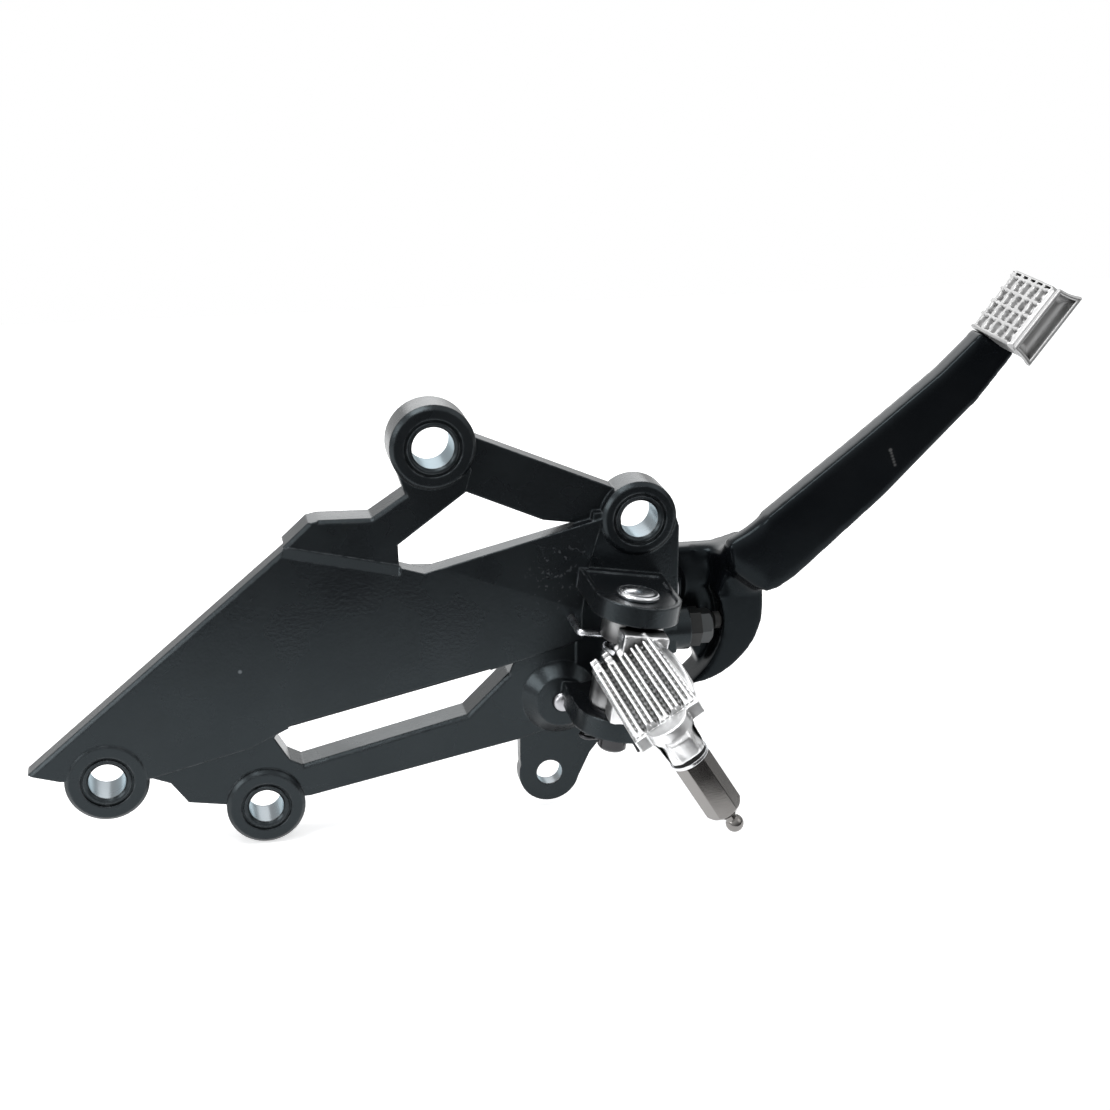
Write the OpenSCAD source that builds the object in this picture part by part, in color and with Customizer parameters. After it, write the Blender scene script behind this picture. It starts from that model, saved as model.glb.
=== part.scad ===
// Motorcycle footrest bracket: right-hand hanger with folding peg and brake pedal. Millimetres.
// X runs along the bracket, Z up as photographed, Y into the motorcycle.
// The origin is on bore A's axis, in the plane of the frame-side boss faces.

/* [Frame bosses] */
// Bore A radius
bore_a = 6.5; // [5.6:0.1:7]
// Bore B radius
bore_b = 6; // [5.2:0.1:6.6]
// Bore C radius
bore_c = 5.7; // [5:0.1:6.4]
// Bore D radius
bore_d = 5.4; // [4.8:0.1:6]
// Boss A outer radius
boss_a = 13.3; // [12.4:0.1:14]
// Boss B outer radius
boss_b = 12; // [11.4:0.1:12.6]
// Boss C outer radius
boss_c = 12.9; // [12:0.1:13.6]
// Boss D outer radius
boss_d = 12.3; // [11.4:0.1:13]
// Boss height above the frame face
boss_h = 12.4; // [12:0.1:12.8]
// Width of the ring groove round each bore
ring_w = 0.9; // [0.6:0.1:1.1]

/* [Casting] */
// Panel's height above the frame face
panel_h = 13; // [12.9:0.1:14]
// Panel skin thickness
panel_t = 7; // [5:0.5:8]
// Upper arm's height above the frame face
arm_h = 10; // [9:0.25:10.25]
// Strut's height above the frame face
strut_h = 8; // [6:0.5:10]
// Lower bar's height above the frame face
bar_h = 10.5; // [9:0.5:11]
// Bevel of the panel's top edge
bevel = 2.6; // [1.5:0.1:2.9]
// Angle of the panel's folded part, in degrees
fold = 3; // [2:0.25:3.25]
// Lower tab thickness
tab_t = 5; // [4:0.5:7]
// Lower tab hole radius
tab_hole = 4.2; // [3.2:0.1:5]

/* [Clevis] */
// Distance from the frame face to the pin axis
pin_y = 34; // [33.5:0.1:35]
// Pin's lean from upright, in degrees
lean = 9; // [7:1:11]
// Pin radius
pin_r = 4.5; // [4:0.1:4.8]
// Pin head radius
pin_head = 6.75; // [6:0.25:7.5]
// Ear thickness
ear_t = 6.2; // [5.5:0.1:6.6]
// Ear outer radius
ear_r = 13.5; // [12.5:0.1:13.6]

/* [Footpeg] */
// Tread's roll about its length, in degrees
roll = 32; // [30:1:34]
// Tread length
tread_l = 61; // [55:1:66]
// Tread width
tread_w = 21; // [20:0.5:22]
// Tooth rows across the tread
tooth_rows = 5; // [4:1:5]
// Tooth pitch along the tread
tooth_pitch = 3.5; // [3.2:0.1:5]
// Tooth height
tooth_h = 3; // [2:0.1:3.1]

/* [Feeler] */
// Width across flats
feeler_af = 9.6; // [8:0.1:10.4]
// Hexagon length
feeler_l = 21; // [16:0.5:25]
// Ball radius
ball_r = 2.6; // [2.2:0.1:3]

/* [Brake pedal] */
// Arm thickness
arm_t = 9; // [7:0.5:9]
// Hub radius
hub_r = 13; // [12:0.1:13.5]
// Shoulder radius of the pivot bolt
pivot_r = 6; // [5.6:0.1:6.2]
// Pad length along the arm
pad_l = 22.7; // [21.5:0.1:24]
// Pad width
pad_w = 34; // [30:1:38]
// Depth of the pad's pits
pit_d = 1.6; // [0.8:0.1:2.2]

/* [Stop and springs] */
// Stop bolt width across flats
stop_af = 10; // [9:0.1:10.6]
// Stop bolt shank radius
stop_r = 3; // [2.5:0.1:3.4]
// Peg spring wire radius
peg_wire = 1.2; // [1:0.05:1.25]
// Pedal spring wire radius
pedal_wire = 1.2; // [1:0.05:1.3]

/* [Hidden] */
$fn = 48;
run = 0.05;                     // clearance of a shaft in its hole
a_at = [0, 0];
b_at = [64.5, -26.6];
c_at = [-103, -99.8];
d_at = [-55, -113.3];
cone_at = [39.3, -84.6];
tab_at = [37.1, -113.4];
fold_a = [2, -38.05];
fold_b = [46.2, -55];
pivot_at = [70, -55.5];
anchor_at = [pivot_at.x - 11 + pedal_wire + 2.5, -38];
clevis_at = [55.2, -pin_y, -64.7];
gap = 31;                       // between the ears
half = gap / 2;
dish = 0.6;                     // depth of the dish in the upper ear
stop_at = [-4, -66.7];          // y and z of the stop bolt's axis
pad_at = [175.6, 27];
pad_tilt = 52.3;
pad_t = 8.3;
tread_y = -10;                   // hinge end of the tread
feeler_y = tread_y - tread_l + 5.5;
ring_n = -1.8;                  // foot of the feeler's boss
body_n = 9;                     // top of the tread's body above the clevis centre
hub_y0 = 1.1;
hub_y1 = 20.9;

// Flat shapes drawn in X and Z, thick from y0 to y1.
module slab(y0, y1) translate([0, y1, 0]) rotate([90, 0, 0]) linear_extrude(y1 - y0) children();

module rod_y(p, y0, y1, r) translate([p.x, y1, p.y]) rotate([90, 0, 0]) cylinder(r=r, h=y1 - y0);

module ring_y(p, y0, y1, r, inner) difference() {
    rod_y(p, y0, y1, r);
    rod_y(p, y0 - 1, y1 + 1, inner);
}

// A 45 degree bevel of width w cut along the edge from a to b in the face at y.
// The stock is on the right of the way from a to b.
module bevel_cut(a, b, y, w, ext=0.4) {
    d = b - a;
    s = w * sqrt(2);
    translate([a.x, y, a.y]) rotate([0, -atan2(d.y, d.x), 0]) rotate([45, 0, 0])
        translate([-ext, -s / 2 - 0.06, -s / 2]) cube([norm(d) + 2 * ext, s + 0.12, 1.5 * s]);
}

// The clevis frame has the pin along its Z; the peg frame has the tread's normal along its Z.
module in_clevis() translate(clevis_at) rotate([0, lean, 0]) children();
module in_peg() translate(clevis_at) rotate([0, -roll, 0]) children();

// A point of the pad, u along the arm and v into its thickness.
function pad_pt(u, v) = [pad_at.x + u * cos(pad_tilt) + v * sin(pad_tilt),
    pad_at.y + u * sin(pad_tilt) - v * cos(pad_tilt)];

module boss(p, r, h) {
    rod_y(p, 1.2 - h, 0, r);
    translate([p.x, 1.2 - h, p.y]) rotate([90, 0, 0]) cylinder(r1=r, r2=r - 1.2, h=1.2);
}

module boss_cuts(p, r, h, hole) {
    rod_y(p, -h - 1, 1, hole);
    ring_y(p, -h - 1, 0.9 - h, hole + 1.6 + ring_w, hole + 1.6);
    translate([p.x, 0.8 - h, p.y]) rotate([90, 0, 0]) cylinder(r1=hole, r2=hole + 1.6, h=1.6);
}

module panel_shape() polygon([[-126.4, -95.7], [-45.8, -28.8], [-11.2, -37], [-3.6, -39.4],
    [52.9, -25.8], [48.2, -41.5], [46, -56.3], [46.1, -64.7], [40.3, -66.9], [16.2, -73],
    [-46.7, -86.8], [-59.3, -92.7], [-89.5, -99.9], [-116.9, -98.5]]);

// The panel folds back a little above a line that runs from the window to the clevis.
module panel() difference() {
    d = fold_b - fold_a;
    slab(-panel_h, panel_t - panel_h) panel_shape();
    translate([fold_a.x, -panel_h, fold_a.y]) rotate([0, -atan2(d.y, d.x), 0])
        rotate([-fold, 0, 0]) translate([-6, -10, 0]) cube([80, 10, 50]);
}

module arm_shape() polygon([[-45.8, -28.8], [-38.3, -22], [-35, -21.3], [-19, -21.7],
    [-8.5, -14.8], [-12, -4], [0, 4], [12, -8], [10.1, -14.9], [-11.2, -30.5], [-11, -38],
    [-30, -44]]);

module strut_shape() polygon([[6, 4.8], [60.3, -18.5], [66, -27], [53, -29], [34.5, -26.1],
    [10.5, -15.5], [2, -12]]);

module bar_shape() polygon([[-96, -97], [-60, -84], [-48, -84], [-51.5, -91], [-47, -98.6],
    [-42.7, -101], [9.5, -88.7], [22.8, -75.8], [27, -66], [47, -62], [46, -92], [32, -96.6],
    [26.6, -98.2], [-41, -111.5], [-67.8, -112], [-78.8, -110.2], [-83.9, -103.2], [-92, -100]]);

module tab_shape() {
    polygon([[27.4, -95], [27.5, -108], [28.3, -117.5], [46, -117.3], [50.5, -107.5],
        [56, -100.5], [60, -88]]);
    translate(tab_at) circle(r=9.9);
}

module wall_shape() polygon([[50, -24], [75.6, -24], [77.5, -30], [77.5, -72.5], [68, -75.5], [67, -88],
    [60, -93], [47, -90], [44.5, -84], [44.5, -58], [47, -42]]);

module ear(z0, z1) translate([0, 0, z0]) linear_extrude(z1 - z0) union() {
    circle(r=ear_r);
    translate([-ear_r, 0]) square([2 * ear_r, pin_y - 8]);
}

module cone_boss() translate([cone_at.x, 0, cone_at.y]) rotate([90, 0, 0]) {
    cylinder(r=12.3, h=bar_h);
    translate([0, 0, bar_h]) cylinder(r1=12.3, r2=8.2, h=4.4);
}

module back_rib(a, b, w) {
    d = b - a;
    translate([a.x, -panel_h + panel_t - 0.5, a.y]) rotate([0, -atan2(d.y, d.x), 0])
        translate([0, 0, -w / 2]) cube([norm(d), panel_h - panel_t - 1, w]);
}

module hanger() color([0.07, 0.075, 0.085]) difference() {
    union() {
        panel();
        slab(-arm_h, 0) arm_shape();
        slab(-strut_h, -1) strut_shape();
        slab(-bar_h, 0) bar_shape();
        slab(-tab_t, 0) tab_shape();
        slab(-11, 0) wall_shape();
        boss(a_at, boss_a, boss_h);
        boss(b_at, boss_b, boss_h);
        boss(c_at, boss_c, panel_h + 0.4);
        boss(d_at, boss_d, boss_h);
        cone_boss();
        in_clevis() ear(half, half + ear_t);
        in_clevis() ear(-half - ear_t, -half);
        intersection() {
            translate([74, stop_at.x, stop_at.y]) rotate([0, 90, 0]) cylinder(r=7.2, h=8.5);
            translate([73, -12, -76]) cube([10, 12, 20]);
        }
        back_rib([-90, -88], [-42, -40], 3.5);
        back_rib([-42, -40], [46, -44], 3.5);
        back_rib([-42, -40], [-20, -82], 3);
        back_rib([-10, -78], [-4, -42], 3);
        back_rib([-4, -42], [30, -68], 3);
        back_rib([-60, -86], [20, -68], 3.5);
    }
    bevel_cut([-45.8, -28.8], [-11.2, -37], -panel_h, bevel, 0.5);
    bevel_cut([-126.4, -95.7], [-45.8, -28.8], -panel_h, 1, 2);
    bevel_cut([16.2, -73], [-46.7, -86.8], -panel_h, 0.8);
    bevel_cut([-35, -21.3], [-19, -21.7], -arm_h, 1);
    bevel_cut([-45.8, -28.8], [-38.3, -22], -arm_h, 1);
    bevel_cut([-19, -21.7], [-8.5, -14.8], -arm_h, 1);
    bevel_cut([-42.7, -101], [9.5, -88.7], -bar_h, 1);
    bevel_cut([9.5, -88.7], [22.8, -75.8], -bar_h, 1);
    boss_cuts(a_at, boss_a, boss_h, bore_a);
    boss_cuts(b_at, boss_b, boss_h, bore_b);
    boss_cuts(c_at, boss_c, panel_h + 0.4, bore_c);
    boss_cuts(d_at, boss_d, boss_h, bore_d);
    rod_y(tab_at, -tab_t - 1, 1, tab_hole);
    rod_y(cone_at, -20, 1, 3 + run);
    rod_y(pivot_at, -9.5, 1, 4 + run);
    rod_y(anchor_at, -8.1, 1, 2.5 + run);
    translate([71, stop_at.x, stop_at.y]) rotate([0, 90, 0]) cylinder(r=stop_r + run, h=20);
    in_clevis() translate([0, 0, -half - ear_t - 1]) cylinder(r=pin_r + run, h=gap + 2 * ear_t + 2);
    in_clevis() translate([0, 0, half + ear_t - dish]) cylinder(r=ear_r - 1.5, h=2);
    in_clevis() translate([1.5 - ear_r, 0, half + ear_t - dish])
        cube([2 * ear_r - 3, pin_y - 14, 2]);
}

module clevis_pin() color([0.8, 0.8, 0.82]) in_clevis() difference() {
    union() {
        translate([0, 0, -half - ear_t - 6.5]) cylinder(r=pin_r, h=gap + 2 * ear_t + 6.5);
        translate([0, 0, -half - ear_t - 7.3]) cylinder(r1=pin_r - 0.8, r2=pin_r, h=0.8);
        translate([0, 0, half + ear_t - dish]) cylinder(r=pin_head, h=1.2);
        translate([0, 0, half + ear_t - dish + 1.2]) cylinder(r1=pin_head, r2=pin_head - 2, h=1);
    }
    translate([-10, 0, -half - ear_t - 3.6]) rotate([0, 90, 0]) cylinder(r=1.3, h=20, $fn=24);
}

module pin_washer() color([0.7, 0.7, 0.72]) in_clevis() translate([0, 0, -half - ear_t - 1.6])
    difference() {
        cylinder(r=8.5, h=1.6);
        translate([0, 0, -1]) cylinder(r=pin_r + 0.3, h=4);
    }

// Split pin: a shank through the tail, a round eye on one side and two spread legs on the other.
module split_pin() color([0.62, 0.62, 0.64]) in_clevis() translate([0, 0, -half - ear_t - 3.6]) {
    translate([-6.6, 0, 0]) rotate([0, 90, 0]) cylinder(r=1.2, h=13, $fn=24);
    translate([-8.3, 0, 0]) rotate_extrude($fn=32) translate([2, 0]) circle(r=0.7, $fn=16);
    translate([6, 0, 0]) rotate([60, 90, 0]) rotate([0, 35, 0]) cylinder(r=0.6, h=5, $fn=16);
    translate([6, 0, 0]) rotate([-60, 90, 0]) rotate([0, 35, 0]) cylinder(r=0.6, h=5, $fn=16);
}

// Rings a little apart, joined by a riser: a plain stand-in for a wound wire.
module coil(r, wire, count) {
    for (i = [0 : count - 1]) translate([0, 0, i * (2 * wire + 0.3)])
        rotate_extrude() translate([r, 0]) circle(r=wire, $fn=24);
    translate([-r, 0, 0]) cylinder(r=wire - 0.15, h=(count - 1) * (2 * wire + 0.3), $fn=24);
}

module peg_spring() color([0.75, 0.75, 0.77]) in_clevis() translate([0, 0, -2.6]) {
    top = 3 * (2 * peg_wire + 0.3);
    leg = peg_wire - 0.15;
    coil(7.2, peg_wire, 4);
    translate([7.2, 0, -3.6]) cylinder(r=leg, h=3.6, $fn=24);
    translate([-14, 7.2, top]) rotate([0, 90, 0]) cylinder(r=leg, h=14.5, $fn=24);
    translate([-14, 7.2, top]) sphere(r=leg, $fn=24);
    translate([-14, 7.2, top]) rotate([-90, 0, 0]) cylinder(r=leg, h=pin_y - 7.2 - panel_h, $fn=24);
}

module peg_shim() color([0.66, 0.66, 0.68]) in_clevis() translate([0, 0, -half]) difference() {
    cylinder(r=9, h=1);
    translate([0, 0, -1]) cylinder(r=pin_r + run, h=3);
}

module knuckle(z0, z1) translate([0, 0, z0]) cylinder(r=9.5, h=z1 - z0);

// One row of saw teeth at t across the tread.
module teeth(t) translate([t + 1.2, 0, 0]) rotate([0, -90, 0]) linear_extrude(2.4) {
    y0 = tread_y - 0.6;
    n = floor((tread_l - 6) / tooth_pitch);
    polygon(concat(
        [for (i = [0 : n - 1]) each [[body_n, y0 - i * tooth_pitch],
            [body_n + tooth_h, y0 - 0.6 - i * tooth_pitch],
            [body_n + tooth_h, y0 - 1.4 - i * tooth_pitch]]],
        [[body_n, y0 - n * tooth_pitch], [body_n - 1, y0 - n * tooth_pitch], [body_n - 1, y0]]));
}

// The bulged flank along the tread's upper side.
module flank() linear_extrude(7) polygon([[8, -14], [10.6, -16], [12, -21], [12.8, -28],
    [12.9, -35], [12.6, -42], [12, -50], [11, -58], [9.6, -66], [8.4, tread_y - tread_l + 1.5],
    [7, tread_y - tread_l + 1.5]]);

module footpeg() color([0.83, 0.84, 0.85]) difference() {
    hw = tread_w / 2;
    step = 16.4 / (tooth_rows - 1);
    union() {
        in_clevis() knuckle(-half + 1.1, -4.2);
        in_clevis() knuckle(7.4, half - 0.1);
        in_clevis() translate([-7, -17, -half + 1.1]) cube([14, 8, gap - 2.4]);
        in_clevis() translate([1, 5, -12]) cube([6, pin_y - 17.1, 7.6]);
        in_peg() difference() {
            translate([-hw, tread_y - tread_l, -1.5]) cube([tread_w, tread_l, body_n + 1.5]);
            translate([-hw + 2.6, tread_y + 2.4 - tread_l, -3])
                cube([tread_w - 5.2, tread_l - 13.4, 8]);
        }
        in_peg() flank();
        in_peg() translate([0, feeler_y, ring_n]) cylinder(r1=5.5, r2=6.2, h=7);
        in_peg() for (k = [0 : tooth_rows - 1]) teeth(-8.2 + k * step);
    }
    in_clevis() translate([0, 0, -half]) cylinder(r=pin_r + run, h=gap);
    in_clevis() translate([7.2, 0, -8]) cylinder(r=1.45, h=6, $fn=24);
    in_peg() translate([0, feeler_y, ring_n - 1]) cylinder(r=3 + run, h=8.6);
}

module feeler() color([0.78, 0.78, 0.8]) in_peg() translate([0, feeler_y, ring_n - 2]) {
    translate([0, 0, -0.2]) cylinder(r=3, h=9);
    intersection() {
        translate([0, 0, -feeler_l]) cylinder(r=feeler_af / sqrt(3), h=feeler_l, $fn=6);
        translate([0, 0, -feeler_l]) cylinder(r1=feeler_af / 2 - 1.2,
            r2=feeler_af / 2 - 1.2 + feeler_l, h=feeler_l);
    }
    translate([0, 0, -3.4 - feeler_l]) cylinder(r=1.7, h=4.4);
    translate([0, 0, -feeler_l - 1.8 - ball_r]) sphere(r=ball_r);
}

module feeler_washer() color([0.72, 0.72, 0.74]) in_peg() translate([0, feeler_y, ring_n - 2])
    difference() {
        cylinder(r=5.8, h=1);
        translate([0, 0, -1]) cylinder(r=3 + run, h=3);
    }

module feeler_ring() color([0.08, 0.08, 0.08]) in_peg() translate([0, feeler_y, ring_n - 1]) difference() {
    cylinder(r=5.2, h=1);
    translate([0, 0, -1]) cylinder(r=3 + run, h=3);
}

module arm_outline() polygon([[93.8, -38], [101.3, -34.2], [137.3, -6.1], [163.1, 14.7],
    [173, 24.2], pad_pt(-0.2, 0), pad_pt(-0.2, 3.3), pad_pt(18, 3.3), pad_pt(18, pad_t),
    pad_pt(4, pad_t), pad_pt(1.3, 13.6), [175.2, 4.4], [159.6, -11.3], [146.7, -24.4],
    [125.3, -43.3], [117, -50.6], [111.3, -54], [105.5, -55.2], [95.7, -47.5]]);

// The lobe is a crescent between two arcs.
module lobe_outline() difference() {
    intersection() {
        translate([82.6, -61.3]) circle(r=26.1);
        polygon([[94, -50], [112, -50], [112, -90], [84, -90]]);
    }
    translate([70.1, -66.6]) circle(r=24.7);
}

module root_outline() polygon([[70, -42.5], [95, -42.5], [104.5, -40], [109, -44], [107, -62],
    [95.3, -83.3], [90.6, -85.2], [89.4, -84.3], [88.4, -80.2], [85.9, -76.1], [80, -71.5], [70, -68.5]]);

module lever_outline() {
    polygon([[62, -46], [46.5, -66.5], [46.5, -74], [57, -76], [76, -64]]);
    translate([51.5, -71.5]) circle(r=8);
}

module pedal() color([0.05, 0.052, 0.06]) difference() {
    union() {
        slab(-10, arm_t - 10) arm_outline();
        slab(-3, 12) polygon([[92, -43], [95, -42.5], [104.5, -40], [109, -44], [110, -53],
            [105.5, -55.2], [95, -52]]);
        slab(-4, 12) lobe_outline();
        slab(4, 12) root_outline();
        slab(4, 10) lever_outline();
        rod_y(pivot_at, hub_y0, 12, hub_r);
        rod_y(pivot_at, 11, hub_y1, 9.4);
    }
    rod_y(pivot_at, 0, 22, 7.5);
    rod_y([51.5, -71.5], 3, 11, 4);
    rod_y([88, pivot_at.y - 11], 7, 13, 1.6);
    translate([pad_pt(9, 0).x, -5.5, pad_pt(9, 0).y]) rotate([0, 180 - pad_tilt, 0])
        cylinder(r=2.2, h=12, $fn=24);
    translate([93, -0.5, -66.5]) rotate([0, 90, 0]) cylinder(r=1.5, h=6, $fn=24);
}

module hub_bush_front() color([0.72, 0.55, 0.3]) ring_y(pivot_at, 4, 10.5, 7.5, pivot_r + run);

module hub_bush_rear() color([0.72, 0.55, 0.3]) ring_y(pivot_at, 11.5, 18, 7.5, pivot_r + run);

module hub_seal_front() color([0.06, 0.06, 0.06]) ring_y(pivot_at, 1.6, 3.6, 7.5, pivot_r + 0.1);

module hub_seal_rear() color([0.06, 0.06, 0.06]) ring_y(pivot_at, 18.4, 20.4, 7.5, pivot_r + 0.1);

module pivot_bolt() color([0.6, 0.6, 0.62]) {
    rod_y(pivot_at, -9, 0.5, 4);
    rod_y(pivot_at, 0, 22, pivot_r);
    rod_y(pivot_at, 22, 23.2, 10.5);
    translate([pivot_at.x, 29, pivot_at.y]) rotate([90, 0, 0]) cylinder(r=17 / sqrt(3), h=6, $fn=6);
}

module pivot_washer_front() color([0.7, 0.7, 0.72]) ring_y(pivot_at, 0, 1, 11, pivot_r + run);

module pivot_washer_rear() color([0.7, 0.7, 0.72]) ring_y(pivot_at, 21, 22, 11, pivot_r + run);

module stop_bolt() color([0.32, 0.33, 0.34]) translate([0, stop_at.x, stop_at.y]) rotate([0, 90, 0]) {
    translate([0, 0, 73]) cylinder(r=stop_r, h=14);
    intersection() {
        translate([0, 0, 86.4]) rotate(30) cylinder(r=stop_af / sqrt(3), h=4, $fn=6);
        translate([0, 0, 86.4]) cylinder(r1=stop_af / sqrt(3) + 3, r2=stop_af / 2 - 0.2, h=4);
    }
}

module stop_nut() color([0.2, 0.2, 0.21]) translate([82.5, stop_at.x, stop_at.y]) rotate([0, 90, 0])
    difference() {
        rotate(30) cylinder(r=11.4 / sqrt(3), h=3.9, $fn=6);
        translate([0, 0, -1]) cylinder(r=stop_r + run, h=6);
    }

module pedal_spring() color([0.28, 0.28, 0.29]) {
    step = 2 * pedal_wire + 0.3;
    y0 = 12.2 + pedal_wire;
    leg = pedal_wire - 0.15;
    translate([pivot_at.x, y0, pivot_at.y]) rotate([-90, 0, 0]) coil(11, pedal_wire, 3);
    translate([pivot_at.x - 11, y0 + 2 * step, pivot_at.y - 0.5]) cylinder(r=leg, h=20, $fn=24);
    translate([pivot_at.x - 0.5, y0, pivot_at.y - 11]) rotate([0, 90, 0])
        cylinder(r=leg, h=18.5, $fn=24);
    translate([88, y0, pivot_at.y - 11]) sphere(r=leg, $fn=24);
    rod_y([88, pivot_at.y - 11], 8, y0, leg, $fn=24);
}

module spring_anchor() color([0.6, 0.6, 0.62]) {
    rod_y(anchor_at, -8, 21, 2.5);
    rod_y(anchor_at, 20.8, 22.5, 4);
}

module cone_stud() color([0.55, 0.55, 0.57]) {
    rod_y(cone_at, -16.4, 8, 3);
    translate([cone_at.x, -16.4, cone_at.y]) rotate([90, 0, 0]) cylinder(r1=3, r2=2.3, h=0.7);
}

module cone_nut() color([0.5, 0.5, 0.52]) translate([cone_at.x, 5, cone_at.y]) rotate([90, 0, 0])
    difference() {
        cylinder(r=10 / sqrt(3), h=5, $fn=6);
        translate([0, 0, -1]) cylinder(r=3 + run, h=7);
    }

// In the pad's frame X is v (thickness), Z is u (along the arm).
module pedal_pad() color([0.7, 0.71, 0.72]) translate([pad_at.x, 0, pad_at.y])
    rotate([0, 90 - pad_tilt, 0]) difference() {
        cols = floor((pad_w - 3) / 5.2);
        union() {
            translate([0, 1 - pad_w, 0]) cube([pad_t, pad_w, pad_l]);
            slab(1 - pad_w, 4 - pad_w) polygon([[pad_t - 4, pad_l - 1], [pad_t, pad_l - 1],
                [pad_t, pad_l + 2.4], [pad_t - 1, pad_l + 2.6]]);
        }
        translate([3.2, -11, 2.5]) cube([10, 13, pad_l - 5]);
        translate([3.2, -10.4, -1]) cube([10, 9.8, 5]);
        translate([2.2, -pad_w, 1.6]) cube([5, 19, pad_l - 3.2]);
        translate([-1, -5.5, 9]) rotate([0, 90, 0]) translate([0, 0, 2.6]) cylinder(r=2, h=4, $fn=24);
        for (i = [0 : cols - 1], k = [0 : 3])
            translate([-1, -0.9 - (i + 1) * 5.2, 1.5 + k * (pad_l - 3) / 4])
                cube([1 + pit_d, 3.4, (pad_l - 3) / 4 - 1.2]);
    }

module pad_screw() color([0.5, 0.5, 0.52]) translate([pad_at.x, -5.5, pad_at.y])
    rotate([0, 90 - pad_tilt, 0]) translate([0, 0, 9]) rotate([0, 90, 0]) {
        translate([0, 0, 1.6]) cylinder(r=2, h=pad_t - 1.5, $fn=24);
        translate([0, 0, pad_t]) cylinder(r=3.6, h=2);
    }

module stop_button() color([0.05, 0.05, 0.05]) translate([92.6, -0.5, -66.5]) rotate([0, 90, 0]) {
    cylinder(r=2.8, h=1.9);
    cylinder(r=1.5, h=6, $fn=24);
}

hanger();
clevis_pin();
pin_washer();
split_pin();
peg_spring();
peg_shim();
pivot_bolt();
pivot_washer_front();
pivot_washer_rear();
stop_bolt();
stop_nut();
pedal_spring();
spring_anchor();
cone_stud();
cone_nut();
footpeg();
feeler();
feeler_washer();
feeler_ring();
pedal();
hub_bush_front();
hub_bush_rear();
hub_seal_front();
hub_seal_rear();
pedal_pad();
pad_screw();
stop_button();
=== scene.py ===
# Motorcycle footrest bracket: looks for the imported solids. Metres, X along the bracket, Z up.
from math import pi, radians

import bmesh
import bpy
import numpy as np
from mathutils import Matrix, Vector


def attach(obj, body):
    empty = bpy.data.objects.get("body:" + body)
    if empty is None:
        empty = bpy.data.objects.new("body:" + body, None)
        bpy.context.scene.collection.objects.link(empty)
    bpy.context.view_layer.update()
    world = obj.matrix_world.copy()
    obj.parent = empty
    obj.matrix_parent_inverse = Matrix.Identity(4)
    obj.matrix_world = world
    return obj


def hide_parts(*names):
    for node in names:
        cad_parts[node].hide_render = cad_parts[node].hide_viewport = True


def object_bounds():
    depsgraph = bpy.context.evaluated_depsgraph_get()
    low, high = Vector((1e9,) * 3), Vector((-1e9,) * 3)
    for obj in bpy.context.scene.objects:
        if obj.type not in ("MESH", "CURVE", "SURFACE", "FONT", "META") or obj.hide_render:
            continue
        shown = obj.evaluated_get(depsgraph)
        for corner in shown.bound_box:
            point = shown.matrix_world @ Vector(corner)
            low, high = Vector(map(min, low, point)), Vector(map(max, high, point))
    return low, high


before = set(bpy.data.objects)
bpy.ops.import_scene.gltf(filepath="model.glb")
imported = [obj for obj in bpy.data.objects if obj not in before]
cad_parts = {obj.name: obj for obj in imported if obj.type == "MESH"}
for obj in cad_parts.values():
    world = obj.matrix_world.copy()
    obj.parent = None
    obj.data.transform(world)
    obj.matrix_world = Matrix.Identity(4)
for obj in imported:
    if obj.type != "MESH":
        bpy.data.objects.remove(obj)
cad_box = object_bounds()
scene = bpy.context.scene
scene.view_settings.view_transform = "Standard"

# ---- Camera -----------------------------------------------------------------------------
# The viewpoint is 12 degrees left of square-on and 19 above, as the line that the bores'
# axes run to in the photograph gives, on a square frame.
camera = bpy.data.objects.new("camera", bpy.data.cameras.new("camera"))
scene.collection.objects.link(camera)
camera.data.sensor_width = 36.0
camera.data.lens = 64.865
camera.data.clip_start = 0.01
camera.location = (-0.08436, -0.58750, 0.16265)
camera.rotation_euler = (radians(71.299), 0.0, radians(-11.953))
scene.camera = camera

# ---- White tent and lamps ---------------------------------------------------------------
# The studio is a white tent behind and above, open to a dimmer room in front. Gloss sees both,
# the camera sees only white. A soft panel overhead draws the light lines along upper edges,
# one on each side fills, and a weak one lights the back.


def larger(tree, first, second):
    """The larger of two sockets."""
    node = tree.nodes.new("ShaderNodeMath")
    node.operation = "MAXIMUM"
    tree.links.new(first, node.inputs[0])
    tree.links.new(second, node.inputs[1])
    return node.outputs[0]


def seen_ray(tree):
    """1 for what is seen straight, in gloss or through glass, and 0 for the light cast."""
    ray = tree.nodes.new("ShaderNodeLightPath").outputs
    glance = larger(tree, ray["Is Glossy Ray"], ray["Is Transmission Ray"])
    return larger(tree, ray["Is Camera Ray"], glance)


brightest_way = (-0.48, 0.34, 0.81)
dimmest, tent_fill = 0.06, 0.4
world = bpy.data.worlds.new("tent")
scene.world = world
world.use_nodes = True
tent_tree = world.node_tree
tent_nodes, tent_links = tent_tree.nodes, tent_tree.links
tent_nodes.clear()
tent_out = tent_nodes.new("ShaderNodeOutputWorld")
tent_seen = tent_nodes.new("ShaderNodeBackground")
tent_seen.inputs["Color"].default_value = (1.0, 1.0, 1.0, 1.0)
tent_lit = tent_nodes.new("ShaderNodeBackground")
tent_lit.inputs["Color"].default_value = (0.96, 0.98, 1.0, 1.0)
tent_lit.inputs["Strength"].default_value = tent_fill
tent_way = tent_nodes.new("ShaderNodeTexCoord")
tent_side = tent_nodes.new("ShaderNodeVectorMath")
tent_side.operation = "DOT_PRODUCT"
tent_side.inputs[1].default_value = brightest_way
tent_fade = tent_nodes.new("ShaderNodeMapRange")
tent_fade.inputs["From Min"].default_value = -0.72
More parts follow.
